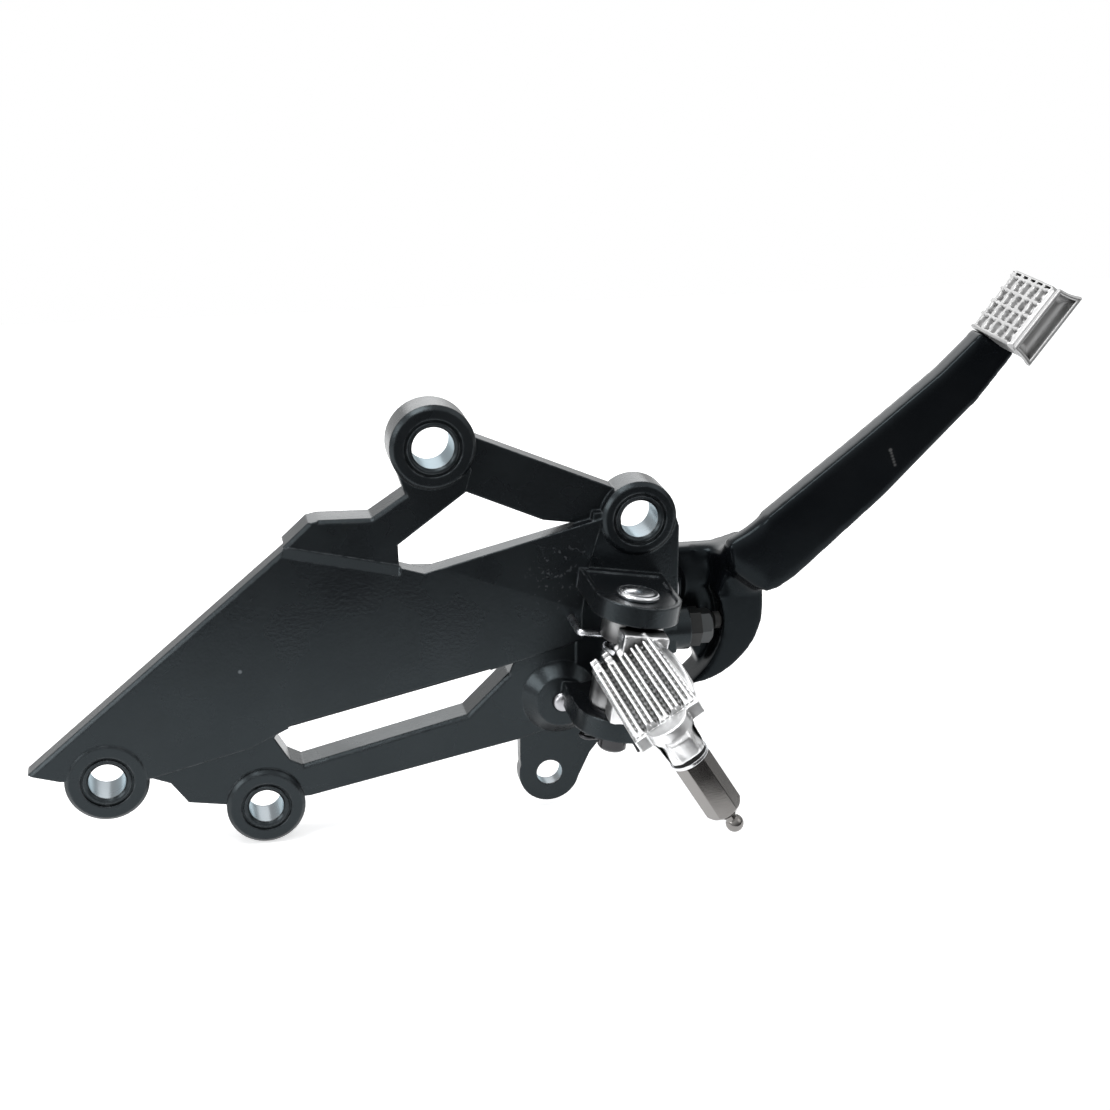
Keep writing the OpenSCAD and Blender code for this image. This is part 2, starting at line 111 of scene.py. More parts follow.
tent_fade.inputs["From Max"].default_value = 0.3
tent_fade.inputs["To Min"].default_value = dimmest
tent_fade.inputs["To Max"].default_value = 1.0
tent_ray = tent_nodes.new("ShaderNodeLightPath")
tent_pick = tent_nodes.new("ShaderNodeMixShader")
tent_links.new(tent_way.outputs["Generated"], tent_side.inputs[0])
tent_links.new(tent_side.outputs["Value"], tent_fade.inputs["Value"])
tent_links.new(larger(tent_tree, tent_fade.outputs["Result"], tent_ray.outputs["Is Camera Ray"]),
               tent_seen.inputs["Strength"])
tent_links.new(seen_ray(tent_tree), tent_pick.inputs[0])
tent_links.new(tent_lit.outputs[0], tent_pick.inputs[1])
tent_links.new(tent_seen.outputs[0], tent_pick.inputs[2])
tent_links.new(tent_pick.outputs[0], tent_out.inputs[0])


def soft_panel(name, spot, aim, size, power):
    """A square area lamp of the given side at spot, turned to face aim."""
    lamp = bpy.data.objects.new(name, bpy.data.lights.new(name, "AREA"))
    scene.collection.objects.link(lamp)
    lamp.data.shape = "SQUARE"
    lamp.data.size = size
    lamp.data.energy = power
    lamp.location = spot
    lamp.rotation_euler = (Vector(aim) - Vector(spot)).to_track_quat("-Z", "Y").to_euler()


stand = (0.02, 0.0, -0.05)
soft_panel("top_panel", (-0.25, -0.1, 0.75), stand, 0.45, 5.0)
soft_panel("left_panel", (-0.8, -0.4, 0.3), stand, 0.4, 2.6)
soft_panel("right_panel", (0.75, -0.45, 0.45), stand, 0.6, 1.2)
soft_panel("rear_panel", (0.1, 0.8, 0.4), stand, 0.6, 2.0)

# ---- Floor ------------------------------------------------------------------------------
# A pale card under and behind the bracket. Eye and gloss see it lifted to white, so that its
# edges don't show against the tent, and the bracket's soft shadow stays on it.
floor_z = cad_box[0][2] - 0.0005
card_lift = 0.62
floor_mesh = bpy.data.meshes.new("floor")
floor_mesh.from_pydata([(-0.7, -0.2, floor_z), (0.7, -0.2, floor_z), (0.7, 0.8, floor_z),
                        (-0.7, 0.8, floor_z)], [], [(0, 1, 2, 3)])
floor = bpy.data.objects.new("floor", floor_mesh)
scene.collection.objects.link(floor)


def finish(name, colour, roughness, metallic=0.0, specular=0.5, tint=(1.0, 1.0, 1.0)):
    """A new node material: a principled shader with its plain values set on the sockets."""
    material = bpy.data.materials.new(name)
    material.use_nodes = True
    shader = material.node_tree.nodes["Principled BSDF"]
    shader.inputs["Base Color"].default_value = (*colour, 1.0)
    shader.inputs["Roughness"].default_value = roughness
    shader.inputs["Metallic"].default_value = metallic
    shader.inputs["Specular IOR Level"].default_value = specular
    shader.inputs["Specular Tint"].default_value = (*tint, 1.0)
    return material


card = finish("floor_card", (0.9, 0.9, 0.9), 0.95, 0.0, 0.1)
card_tree = card.node_tree
card_glow = card_tree.nodes.new("ShaderNodeEmission")
card_glow.inputs["Strength"].default_value = card_lift
card_pick = card_tree.nodes.new("ShaderNodeMixShader")
card_dark = card_tree.nodes.new("ShaderNodeEmission")
card_dark.inputs["Strength"].default_value = 0.0
card_sum = card_tree.nodes.new("ShaderNodeAddShader")
card_tree.links.new(seen_ray(card_tree), card_pick.inputs[0])
card_tree.links.new(card_dark.outputs[0], card_pick.inputs[1])
card_tree.links.new(card_glow.outputs[0], card_pick.inputs[2])
card_tree.links.new(card_tree.nodes["Principled BSDF"].outputs[0], card_sum.inputs[0])
card_tree.links.new(card_pick.outputs[0], card_sum.inputs[1])
card_tree.links.new(card_sum.outputs[0], card_tree.nodes["Material Output"].inputs[0])
floor_mesh.materials.append(card)

# ---- Hanger casting ---------------------------------------------------------------------
# One aluminium sand casting with the heel-guard panel, arms, bosses and clevis ears. It is
# powder coated satin black, and the bores are drilled after the coat, so they are bare.


def cloud(material, size, detail=4.0):
    """Noise with features of the given size in metres, on Object coordinates."""
    tree = material.node_tree
    place = tree.nodes.new("ShaderNodeTexCoord")
    noise = tree.nodes.new("ShaderNodeTexNoise")
    noise.inputs["Scale"].default_value = 1.0 / size
    noise.inputs["Detail"].default_value = detail
    tree.links.new(place.outputs["Object"], noise.inputs["Vector"])
    return noise.outputs["Fac"]


def spread(material, value, low, high, start=0.3, stop=0.7):
    """Carry a value that runs from start to stop onto low to high, held at both ends."""
    ramp = material.node_tree.nodes.new("ShaderNodeMapRange")
    ramp.inputs["From Min"].default_value = start
    ramp.inputs["From Max"].default_value = stop
    ramp.inputs["To Min"].default_value = low
    ramp.inputs["To Max"].default_value = high
    material.node_tree.links.new(value, ramp.inputs["Value"])
    return ramp.outputs["Result"]


def combine(material, operation, first, second):
    """One Math node; second is a socket or a number."""
    node = material.node_tree.nodes.new("ShaderNodeMath")
    node.operation = operation
    material.node_tree.links.new(first, node.inputs[0])
    if isinstance(second, (int, float)):
        node.inputs[1].default_value = second
    else:
        material.node_tree.links.new(second, node.inputs[1])
    return node.outputs[0]


def blend_colour(material, factor, first, second):
    """Mix of two colours by a factor socket; first is a colour or a socket."""
    mix = material.node_tree.nodes.new("ShaderNodeMix")
    mix.data_type = "RGBA"
    material.node_tree.links.new(factor, mix.inputs[0])
    if isinstance(first, tuple):
        mix.inputs[6].default_value = (*first, 1.0)
    else:
        material.node_tree.links.new(first, mix.inputs[6])
    mix.inputs[7].default_value = (*second, 1.0)
    return mix.outputs[2]


def paint(material, tone):
    """Lead a colour socket to the shader."""
    shader = material.node_tree.nodes["Principled BSDF"]
    material.node_tree.links.new(tone, shader.inputs["Base Color"])


def worked(material, rounding, grain, depth, low, high, patch=0.02):
    """Edges rounded by a radius, dents of one grain size and depth, all in metres, and
    roughness that drifts from low to high over patches."""
    tree = material.node_tree
    shader = tree.nodes["Principled BSDF"]
    tree.links.new(spread(material, cloud(material, patch), low, high),
                   shader.inputs["Roughness"])
    soft = tree.nodes.new("ShaderNodeBevel")
    soft.samples = 6
    soft.inputs["Radius"].default_value = rounding
    dent = tree.nodes.new("ShaderNodeBump")
    dent.inputs["Distance"].default_value = depth
    tree.links.new(cloud(material, grain), dent.inputs["Height"])
    tree.links.new(soft.outputs["Normal"], dent.inputs["Normal"])
    tree.links.new(dent.outputs["Normal"], shader.inputs["Normal"])
    return soft.outputs["Normal"]


def edge_wear_and_highlight(material, soft_normal, least=0.02, most=0.25):
    """1 on outer and inner edges: how far the rounded normal leans from the face's own,
    broken up by noise."""
    tree = material.node_tree
    own = tree.nodes.new("ShaderNodeNewGeometry")
    lean = tree.nodes.new("ShaderNodeVectorMath")
    lean.operation = "DOT_PRODUCT"
    tree.links.new(soft_normal, lean.inputs[0])
    tree.links.new(own.outputs["True Normal"], lean.inputs[1])
    bent = spread(material, lean.outputs["Value"], 1.0, 0.0, 1.0 - most, 1.0 - least)
    broken = spread(material, cloud(material, 0.003), 0, 1, 0.45, 0.6)
    return combine(material, "MULTIPLY", bent, broken)


def inside_holes(material, holes):
    """1 within a radius of any of the axes along Y, each given as x, z and radius."""
    tree = material.node_tree
    place = tree.nodes.new("ShaderNodeTexCoord")
    apart = tree.nodes.new("ShaderNodeSeparateXYZ")
    flat = tree.nodes.new("ShaderNodeCombineXYZ")
    tree.links.new(place.outputs["Object"], apart.inputs[0])
    tree.links.new(apart.outputs["X"], flat.inputs["X"])
    tree.links.new(apart.outputs["Z"], flat.inputs["Z"])
    total = None
    for x, z, radius in holes:
        reach = tree.nodes.new("ShaderNodeVectorMath")
        reach.operation = "DISTANCE"
        reach.inputs[1].default_value = (x, 0.0, z)
        tree.links.new(flat.outputs[0], reach.inputs[0])
        hit = combine(material, "LESS_THAN", reach.outputs["Value"], radius)
        total = hit if total is None else combine(material, "MAXIMUM", total, hit)
    return total


def near_point(material, spot, inner, outer):
    """1 within inner metres of a point, falling to 0 at outer."""
    tree = material.node_tree
    place = tree.nodes.new("ShaderNodeTexCoord")
    reach = tree.nodes.new("ShaderNodeVectorMath")
    reach.operation = "DISTANCE"
    reach.inputs[1].default_value = spot
    tree.links.new(place.outputs["Object"], reach.inputs[0])
    return spread(material, reach.outputs["Value"], 1.0, 0.0, inner, outer)


def coat(material, *nodes):
    """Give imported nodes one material."""
    for name in nodes:
        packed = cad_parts[name]
        for piece in (packed if isinstance(packed, (list, tuple)) else [packed]):
            piece.data.materials.clear()
            piece.data.materials.append(material)


satin = finish("satin_black_coat", (0.0045, 0.005, 0.006), 0.28, 0.0, 0.38, (0.78, 0.93, 1.0))
satin_soft = worked(satin, 0.0009, 0.0011, 0.00004, 0.22, 0.34)
satin_tone = blend_colour(satin, spread(satin, cloud(satin, 0.03), 0.0, 1.0),
                          (0.0036, 0.0042, 0.0052), (0.0066, 0.0072, 0.0082))
scuff_at, chip_at = (0.040, -0.012, -0.043), (-0.06103, -0.013, -0.06694)
satin_rub = combine(satin, "MULTIPLY", near_point(satin, scuff_at, 0.006, 0.014),
                    spread(satin, cloud(satin, 0.0013, 8.0), 0.0, 1.0, 0.6, 0.66))
satin_tone = blend_colour(satin, satin_rub, satin_tone, (0.045, 0.048, 0.052))
# Edges are lightened: partly paint worn at the edges, partly painted highlight lines along them.
satin_tone = blend_colour(satin, edge_wear_and_highlight(satin, satin_soft), satin_tone, (0.075, 0.08, 0.085))
satin_nick = near_point(satin, chip_at, 0.0003, 0.0008)
satin_tone = blend_colour(satin, satin_nick, satin_tone, (0.12, 0.13, 0.14))
drilled = [(0.0, 0.0, 0.00652), (0.0645, -0.0266, 0.00602), (-0.103, -0.0998, 0.00572),
           (-0.055, -0.1133, 0.00542), (0.0371, -0.1134, 0.00422)]
satin_bare = inside_holes(satin, drilled)
satin_tone = blend_colour(satin, satin_bare, satin_tone, (0.2, 0.2, 0.205))
paint(satin, satin_tone)
satin.node_tree.links.new(
    satin_bare, satin.node_tree.nodes["Principled BSDF"].inputs["Metallic"])
coat(satin, "hanger")

# ---- Clevis pin -------------------------------------------------------------------------
# The folding peg turns on a turned steel pin, bright plated. It drops in from above: its
# low domed head lies in the dish of the upper ear and its tail takes a washer and split pin.


def skin(name, rows, body, material, crease=35.0):
    """A closed skin over stations of points. Quads join each ring of points to the next, a
    fan to its middle closes each end, doubles merge, and the faces are turned outwards."""
    count, around, _ = rows.shape
    step = np.arange(count - 1)[:, None] * around
    here = np.arange(around)[None, :]
    after = (here + 1) % around
    faces = np.stack([step + here, step + after, step + around + after, step + around + here],
                     -1).reshape(-1, 4).tolist()
    points = np.vstack([rows.reshape(-1, 3), rows[0].mean(0), rows[-1].mean(0)])
    ring, turn, last = here[0], after[0], (count - 1) * around
    first_middle = np.full(around, count * around)
    faces += np.stack([turn, ring, first_middle], -1).tolist()
    faces += np.stack([last + ring, last + turn, first_middle + 1], -1).tolist()
    mesh = bpy.data.meshes.new(name)
    mesh.from_pydata(points.tolist(), [], faces)
    work = bmesh.new()
    work.from_mesh(mesh)
    bmesh.ops.remove_doubles(work, verts=work.verts, dist=2e-7)
    bmesh.ops.recalc_face_normals(work, faces=work.faces)
    work.to_mesh(mesh)
    work.free()
    mesh.polygons.foreach_set("use_smooth", np.ones(len(mesh.polygons), dtype=bool))
    mesh.set_sharp_from_angle(angle=radians(crease))
    mesh.materials.append(material)
    piece = bpy.data.objects.new(name, mesh)
    scene.collection.objects.link(piece)
    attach(piece, body)
    return piece


def leaned(points, at, degrees):
    """Millimetre points turned about Y by an angle and moved to a place, in metres."""
    turn = radians(degrees)
    x, y, z = points[..., 0], points[..., 1], points[..., 2]
    return np.stack([at[0] + x * np.cos(turn) + z * np.sin(turn), at[1] + y,
                     at[2] - x * np.sin(turn) + z * np.cos(turn)], -1) / 1000.0


def turned(profile, around=72):
    """A lathe: each (radius, height) of the profile swept round Z in even steps."""
    profile = np.asarray(profile, float)
    angle = np.linspace(0.0, 2 * pi, around, endpoint=False)
    return np.stack([profile[:, :1] * np.cos(angle), profile[:, :1] * np.sin(angle),
                     profile[:, 1:] + 0 * angle], -1)


plated, dark_below_head = (0.72, 0.73, 0.75), (0.05, 0.05, 0.052)
plate = finish("bright_plated_steel", plated, 0.2, 1.0)
worked(plate, 0.0003, 0.0006, 0.00001, 0.14, 0.26, 0.006)
pin_steel = finish("pin_bright_at_head_dark_below", plated, 0.2, 1.0)
worked(pin_steel, 0.0003, 0.0006, 0.00001, 0.14, 0.26, 0.006)
# The pin keeps its bright plated colour round the head and is much darker further down.
at_head = near_point(pin_steel, (0.0585, -0.034, -0.0430), 0.008, 0.012)
paint(pin_steel, blend_colour(pin_steel, at_head, dark_below_head, plated))
clevis_at = (55.2, -34.0, -64.7)
lean = 9.0
dome_edge = 5.2
dome_r = np.linspace(dome_edge, 0.0, 14)
pin_profile = [(3.7, -29.0), (4.5, -28.2), (4.5, 21.0), (6.2, 21.1), (6.6, 21.2), (6.75, 21.5),
               (6.75, 22.0), (6.62, 22.35), (6.3, 22.6), (5.9, 22.72), (5.6, 22.66)]
pin_profile += [(r, 22.62 + 0.66 * (1 - (r / dome_edge) ** 2)) for r in dome_r]
clevis_pin = skin("clevis_pin_turned", leaned(turned(pin_profile), clevis_at, lean), "hanger",
                  pin_steel)
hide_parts("clevis_pin")

# ---- Pin washer, split pin and thrust shim ----------------------------------------------
# A stamped washer and a folded-wire split pin hold the clevis pin's tail under the lower
# ear, and a ground shim takes up the play above the peg's eye.
oiled = finish("oil_blacked_steel", (0.055, 0.056, 0.06), 0.38, 1.0)
worked(oiled, 0.0003, 0.0008, 0.00002, 0.32, 0.46, 0.008)
coat(oiled, "pin_washer", "split_pin", "peg_shim")

# ---- Peg return spring ------------------------------------------------------------------
# Round spring wire wound round the clevis pin between the peg's two eyes. One leg is hooked
# in the peg's eye, and the other rests on the panel's back and shows left of the tread.


def drawn_wire(path, radius, around=14):
    """A round section carried along a path: at each point it lies across the path's
    direction, found from its neighbours, and its first axis across a slanted line that
    no part of the path follows."""
    along = np.gradient(path, axis=0)
    along /= np.linalg.norm(along, axis=1)[:, None]
    side = np.cross(along, np.array([0.31, 0.23, 0.92]))
    side /= np.linalg.norm(side, axis=1)[:, None]
    up = np.cross(along, side)
    angle = np.linspace(0.0, 2 * pi, around, endpoint=False)[None, :, None]
    return path[:, None, :] + radius * (np.cos(angle) * side[:, None, :]
                                        + np.sin(angle) * up[:, None, :])


def straight(start, stop, step=0.5):
    """Points evenly along a line, the last one left out."""
    start, stop = np.asarray(start, float), np.asarray(stop, float)
    count = max(2, int(np.linalg.norm(stop - start) / step))
    return start + (stop - start) * np.linspace(0.0, 1.0, count, endpoint=False)[:, None]


def eased(path, rounds=6):
    """Each round moves every point but the ends to the middle of itself and its
    neighbours, which rounds the corners."""
    for _ in range(rounds):
        path = np.vstack([path[:1], (path[:-2] + 2 * path[1:-1] + path[2:]) / 4, path[-1:]])
    return path


spring_steel = finish("spring_steel", (0.62, 0.63, 0.65), 0.25, 1.0)
worked(spring_steel, 0.0001, 0.0005, 0.00001, 0.18, 0.34, 0.004)
coil_r, coil_top, leg_x = 7.2, 8.1, -14.0
wind = np.linspace(0.0, 2 * pi * 3.25, 260)
peg_coil = np.stack([coil_r * np.cos(wind), coil_r * np.sin(wind), coil_top * wind / wind[-1]],
                    -1)
peg_path = np.vstack([straight((coil_r, 0, -3.4), (coil_r, 0, 0)), peg_coil,
                      straight((-0.3, coil_r, coil_top), (leg_x, coil_r, coil_top)),
                      straight((leg_x, coil_r, coil_top), (leg_x, 20.9, coil_top)),
                      [(leg_x, 20.95, coil_top)]])
peg_path = eased(peg_path)
coil_seat = 2.6
peg_path[:, 2] -= coil_seat
peg_spring = skin("peg_spring_wound", leaned(drawn_wire(peg_path, 1.15), clevis_at, lean),
                  "hanger", spring_steel)
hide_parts("peg_spring")

# ---- Footpeg ----------------------------------------------------------------------------
# The folding peg is one aluminium die casting, tumbled bright: a hinge eye, a hollow tread
# with rows of saw teeth, and a boss for the feeler at its end.


def cast_copy(name, node, voxel, rounds, body, material):
    """A casting's skin from its solid: the node's triangles are merged, rebuilt on even
    voxels, and each round then draws every point halfway to the middle of its neighbours,
    which rounds edges and fills inner corners as a casting's are."""
    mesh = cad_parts[node].data.copy()
    work = bmesh.new()
    work.from_mesh(mesh)
    bmesh.ops.remove_doubles(work, verts=work.verts, dist=1e-6)
    work.to_mesh(mesh)
    work.free()
    rough = bpy.data.objects.new(name, mesh)
    scene.collection.objects.link(rough)
    even = rough.modifiers.new("even", "REMESH")
    even.mode = "VOXEL"
    even.voxel_size = voxel
    ease = rough.modifiers.new("ease", "SMOOTH")
    ease.factor = 0.5
    ease.iterations = rounds
    bpy.context.view_layer.update()
    done = bpy.data.meshes.new_from_object(
        rough.evaluated_get(bpy.context.evaluated_depsgraph_get()))
    rough.modifiers.clear()
    rough.data = done
    done.polygons.foreach_set("use_smooth", np.ones(len(done.polygons), dtype=bool))
    done.materials.clear()
    done.materials.append(material)
    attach(rough, body)
    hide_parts(node)
    return rough


def crevice(material, reach, least, most):
    """0 in the open and 1 deep in a crevice, from how much of the surroundings within
    reach is covered. It is the mask for painted shade in hollows."""
    tree = material.node_tree
    shade = tree.nodes.new("ShaderNodeAmbientOcclusion")
    shade.samples = 8
    shade.inputs["Distance"].default_value = reach
    return spread(material, shade.outputs["AO"], 1.0, 0.0, least, most)


bright = finish("bright_cast_aluminium", (0.8, 0.81, 0.82), 0.32, 1.0)
worked(bright, 0.0003, 0.0009, 0.00004, 0.26, 0.42, 0.008)
# Painted shade: the colour goes dark where the surroundings close in, as in the valleys between
# the teeth.
bright_tone_crevice_shaded = blend_colour(bright, crevice(bright, 0.0045, 0.42, 0.86), (0.82, 0.825, 0.83),
                           (0.06, 0.06, 0.058))
# Painted shadow: the peg is darkened round the clevis pin, where the upper ear shades its hinge
# eye.
ear_shadow_at_hinge = near_point(bright, tuple(np.array(clevis_at) / 1000.0), 0.013, 0.021)
paint(bright, blend_colour(bright, ear_shadow_at_hinge, bright_tone_crevice_shaded, (0.07, 0.07, 0.072)))
footpeg = cast_copy("footpeg_cast", "footpeg", 0.0005, 3, "footpeg", bright)
roll = 32.0
face_z = 9.0
boss_y = -65.5


def smooth_step(value):
    """0 below 0 and 1 above 1, with level ends between."""
    value = np.clip(value, 0.0, 1.0)
    return value * value * (3 - 2 * value)


def taper_tread(points):
    """In the peg's own frame, x across, y along and z up, what hangs under the tread's face
    draws up towards it with the way out, but not the feeler's boss. From y = -60 on, the
    length is drawn in to end on a line that bulges round the boss as a snout.
    What stands above the face is laid flat: the teeth come as their own surface."""
    turn = radians(-roll)
    x0, y, z0 = ((points * 1000.0 - np.array(clevis_at))[:, k] for k in range(3))
    x, z = x0 * np.cos(turn) - z0 * np.sin(turn), x0 * np.sin(turn) + z0 * np.cos(turn)
    keep = 1 - 0.62 * np.clip((-y - 20.0) / 51.0, 0.0, 1.0)
    from_boss = np.hypot(x, y - boss_y)
    keep = 1 - (1 - keep) * smooth_step((from_boss - 6.0) / 1.2)
    z = np.where((z < face_z) & (y < -17.0), face_z - (face_z - z) * keep, z)
    z = np.where((z > face_z) & (y < -17.3), face_z, z)
    end = 65.2 + np.sqrt(np.maximum(6.2 ** 2 - x ** 2, 0.0))
    drawn = np.where(y < -60.0, -60.0 + (y + 60.0) * (end - 60.0) / 11.7, y)
    boss = (z < 5.0) * smooth_step((6.8 - from_boss) / 0.5)
    y = y * boss + drawn * (1 - boss)
    return leaned(np.stack([x, y, z], -1), clevis_at, -roll)


def points_of(piece):
    """A mesh's points as rows of x, y and z."""
    flat = np.empty(len(piece.data.vertices) * 3)
    piece.data.vertices.foreach_get("co", flat)
    return flat.reshape(-1, 3)


footpeg.data.vertices.foreach_set("co", taper_tread(points_of(footpeg)).ravel())
footpeg.data.update()


def tread_teeth(pitch=3.5, rows=5, spacing=4.1, height=3.0):
    """Saw teeth over the tread: along each row a quick rise and a long fall every pitch,
    times a flat-topped window across the row with a shallow notch in its middle, and each
    tooth a little higher or lower than the next. The skin closes underneath."""
    across = np.linspace(-10.2, 10.2, 131)[None, :]
    along = np.arange(0.0, 53.4, 0.22)[:, None]
    row = np.clip(np.round((across + 8.2) / spacing), 0, rows - 1)
    off = np.abs(across + 8.2 - row * spacing)
    window = smooth_step((1.9 - off) / 0.9) * (1 - 0.55 * np.exp(-(off / 0.36) ** 2))
    start = along + 0.5 * (row % 2)
    tooth = np.floor(start / pitch)
    phase = start / pitch - tooth
    saw = np.minimum(phase / 0.3, (1 - phase) / 0.7)
    uneven = 1 - 0.16 * np.abs(np.sin(12.9 * tooth + 7.3 * row))
    level = face_z + 0.02
    top = level + height * saw * window * uneven * np.clip(along / 0.8, 0, 1)
    top = np.where(along > 53.0, level, top)
    face = np.stack([across + 0 * along, -10.8 - along + 0 * across, top], -1)
    under = face[:, ::-1][:, ::13].copy()
    under[..., 2] = face_z - 0.6
    return np.concatenate([face, under], axis=1)


skin("tread_teeth", leaned(tread_teeth(), clevis_at, -roll), "footpeg", bright,
     crease=50.0)

# ---- Bank feeler ------------------------------------------------------------------------
# A hexagonal steel feeler, dark chromed, screws up into the peg's boss through a bright
# washer and a dark ring. Its ball end scrapes the road first.
chrome = finish("dark_chrome", (0.2, 0.192, 0.185), 0.12, 1.0)
worked(chrome, 0.0004, 0.0007, 0.000008, 0.09, 0.17, 0.01)
coat(chrome, "feeler")
coat(plate, "feeler_washer")

# The ring is a moulded black spacer that the feeler's shoulder squeezes.
moulded = finish("moulded_black_rubber", (0.012, 0.012, 0.012), 0.65, 0.0, 0.35)
worked(moulded, 0.0003, 0.0006, 0.00003, 0.55, 0.75, 0.004)
coat(moulded, "feeler_ring", "stop_button", "hub_seal_front", "hub_seal_rear")

# ---- Brake pedal ------------------------------------------------------------------------
# A steel forging: the hub and lobe behind, and the long flat arm that jogs forwards over
# them to the pad. It is dipped in gloss black, which runs round over the edges.
gloss = finish("gloss_black_coat", (0.0035, 0.004, 0.005), 0.22, 0.0, 0.16, (0.75, 0.92, 1.0))
worked(gloss, 0.0004, 0.004, 0.00004, 0.17, 0.28, 0.03)
gloss_tone = blend_colour(gloss, spread(gloss, cloud(gloss, 0.04), 0.0, 1.0),
                          (0.0028, 0.0034, 0.0045), (0.006, 0.0066, 0.0076))
scratch_x, scratch_z = 0.1469, -0.0096
gloss_nick = near_point(gloss, (scratch_x, -0.010, scratch_z), 0.0004, 0.0008)
for step in (1, 2, 3, 4, 5):
    spot = (scratch_x + 0.00036 * step, -0.010, scratch_z - 0.001 * step)
    gloss_nick = combine(gloss, "MAXIMUM", gloss_nick, near_point(gloss, spot, 0.0001, 0.0007))
paint(gloss, blend_colour(gloss, gloss_nick, gloss_tone, (0.09, 0.09, 0.09)))
pedal = cast_copy("pedal_forged", "pedal", 0.0008, 14, "pedal", gloss)
pedal_x, pedal_y, pedal_z = points_of(pedal).T


def ease_part(piece, name, chosen, rounds):
    """Smooth only the chosen points: each round draws them halfway to their neighbours."""
    piece.vertex_groups.new(name=name).add(np.flatnonzero(chosen).tolist(), 1.0, "REPLACE")
    ease = piece.modifiers.new(name + "_ease", "SMOOTH")
    ease.factor = 0.5
    ease.iterations = rounds
    ease.vertex_group = name


jog_x, jog_half = 0.0965, 0.0105
ease_part(pedal, "jog", (np.abs(pedal_x - jog_x) < jog_half) & (pedal_z > -0.0565)
          & (pedal_y < 0.011), 90)
ease_part(pedal, "bar", (pedal_x > 0.099) & (pedal_x < 0.174) & (pedal_z > -0.053)
          & (pedal_y < 0.0), 10)

# ---- Pedal pad --------------------------------------------------------------------------
# A die-cast aluminium shoe pressed over the arm's end. Its tread face has rows of pits
# for grip, and its outer end is an open pocket with a flared lip.
pad_at, pad_tilt = (175.6, 27.0), 52.3
pad_l, pad_t = 22.7, 8.3


def pad_loop(corner=1.1):
    """A rounded rectangle of thickness v and length u: four sides and four quarter arcs,
    with the points close together on the pitted side."""
    arc = np.linspace(0.0, pi / 2, 7)[1:-1]
    face_u = np.linspace(corner, pad_l - corner, 110)
    side_v = np.linspace(corner, pad_t - corner, 18)
    c, s = corner * np.cos(arc), corner * np.sin(arc)
    v = np.concatenate([0 * face_u, corner - c, side_v, pad_t - corner + s,
                        0 * face_u[::2] + pad_t, pad_t - corner + c, side_v[::-1], corner - s])
    u = np.concatenate([face_u, pad_l - corner + s, 0 * side_v + pad_l, pad_l - corner + c,
                        face_u[::-1][::2], corner - s, 0 * side_v, corner - c])
    return v, u


def pad_rows():
    """Stations of the loop along the pad's width, y: an inset rounds the far end, cuts the
    groove by the near end and turns in over the rim into the pocket. Pits are products of
    level-topped windows that repeat along y and u, and the lip flares with v squared."""
    round_r, groove_y, pit_y, pit_u = 1.1, -29.2, 5.2, 4.925
    far = np.linspace(0.0, pi / 2, 8)[::-1]
    y_far, inset_far = 1 - round_r + round_r * np.sin(far), round_r * (1 - np.cos(far))
    y_body = np.arange(-0.3, -32.2, -0.22)
    inset_body = 1.3 * smooth_step(1.4 * (1 - np.abs(y_body - groove_y) / 2.6))
    rim = np.linspace(0.0, pi, 9)
    y_rim, inset_rim = -32.3 - 0.7 * np.sin(rim), 0.7 - 0.7 * np.cos(rim)
    y_wall = np.linspace(-32.2, -31.6, 8)
    inset_wall = np.linspace(1.42, 1.5, 8)
    bowl = np.linspace(0.0, pi / 2, 12)[1:]
    y_bowl, inset_bowl = -31.6 + 2.6 * np.sin(bowl), 1.5 + 2.4 * (1 - np.cos(bowl))
    y = np.concatenate([y_far, y_body, y_rim, y_wall, y_bowl])[:, None]
    inset = np.concatenate([inset_far, inset_body, inset_rim, inset_wall, inset_bowl])[:, None]
    outside = np.concatenate([y_far * 0 + 1, y_body * 0 + 1, y_rim * 0, y_wall * 0,
                              y_bowl * 0])[:, None]
    v, u = (part[None, :] + 0 * y for part in pad_loop())
    round_off = 3.0 * (1 - np.sqrt(1 - np.clip((y + 2.0) / 3.0, 0.0, 1.0) ** 2))
    u = np.clip(u, inset, pad_l - np.maximum(inset, round_off))
    v = np.clip(v, inset, pad_t - inset)
    wobble = 0.12 * np.sin(2.1 * y + 1.3 * u) + 0.1 * np.sin(1.7 * u - 0.9 * y)
    across = np.abs((y - 0.8 + pit_y / 2) % pit_y - pit_y / 2)
    along = np.abs((u - 3.36 + pit_u / 2) % pit_u - pit_u / 2)
    pit = (smooth_step((1.95 + wobble - across) / 0.6)
           * smooth_step((2.05 + wobble - along) / 0.6))
    pit *= (y > -27.2) * (u > 1.0) * (u < pad_l - 1.0) * outside
    pit *= smooth_step((1.0 - v) / 0.6)
    channel = smooth_step((y + 11.2) / 0.5) * smooth_step((20.6 - u) / 0.5) * outside
    v = np.where(v > 3.1, v - (v - 3.1) * channel, v) + 1.7 * pit
    flare = smooth_step((-27.8 - y) / 4.2) * (v / pad_t) ** 2
    u = u + flare * (2.5 * (u / pad_l) ** 3 - 1.5 * (1 - u / pad_l) ** 3)
    return np.stack([v, y + 0 * v, u], -1)


grey_cast = finish("satin_cast_aluminium", (0.5, 0.5, 0.5), 0.45, 1.0)
worked(grey_cast, 0.0002, 0.0007, 0.00004, 0.38, 0.52, 0.006)
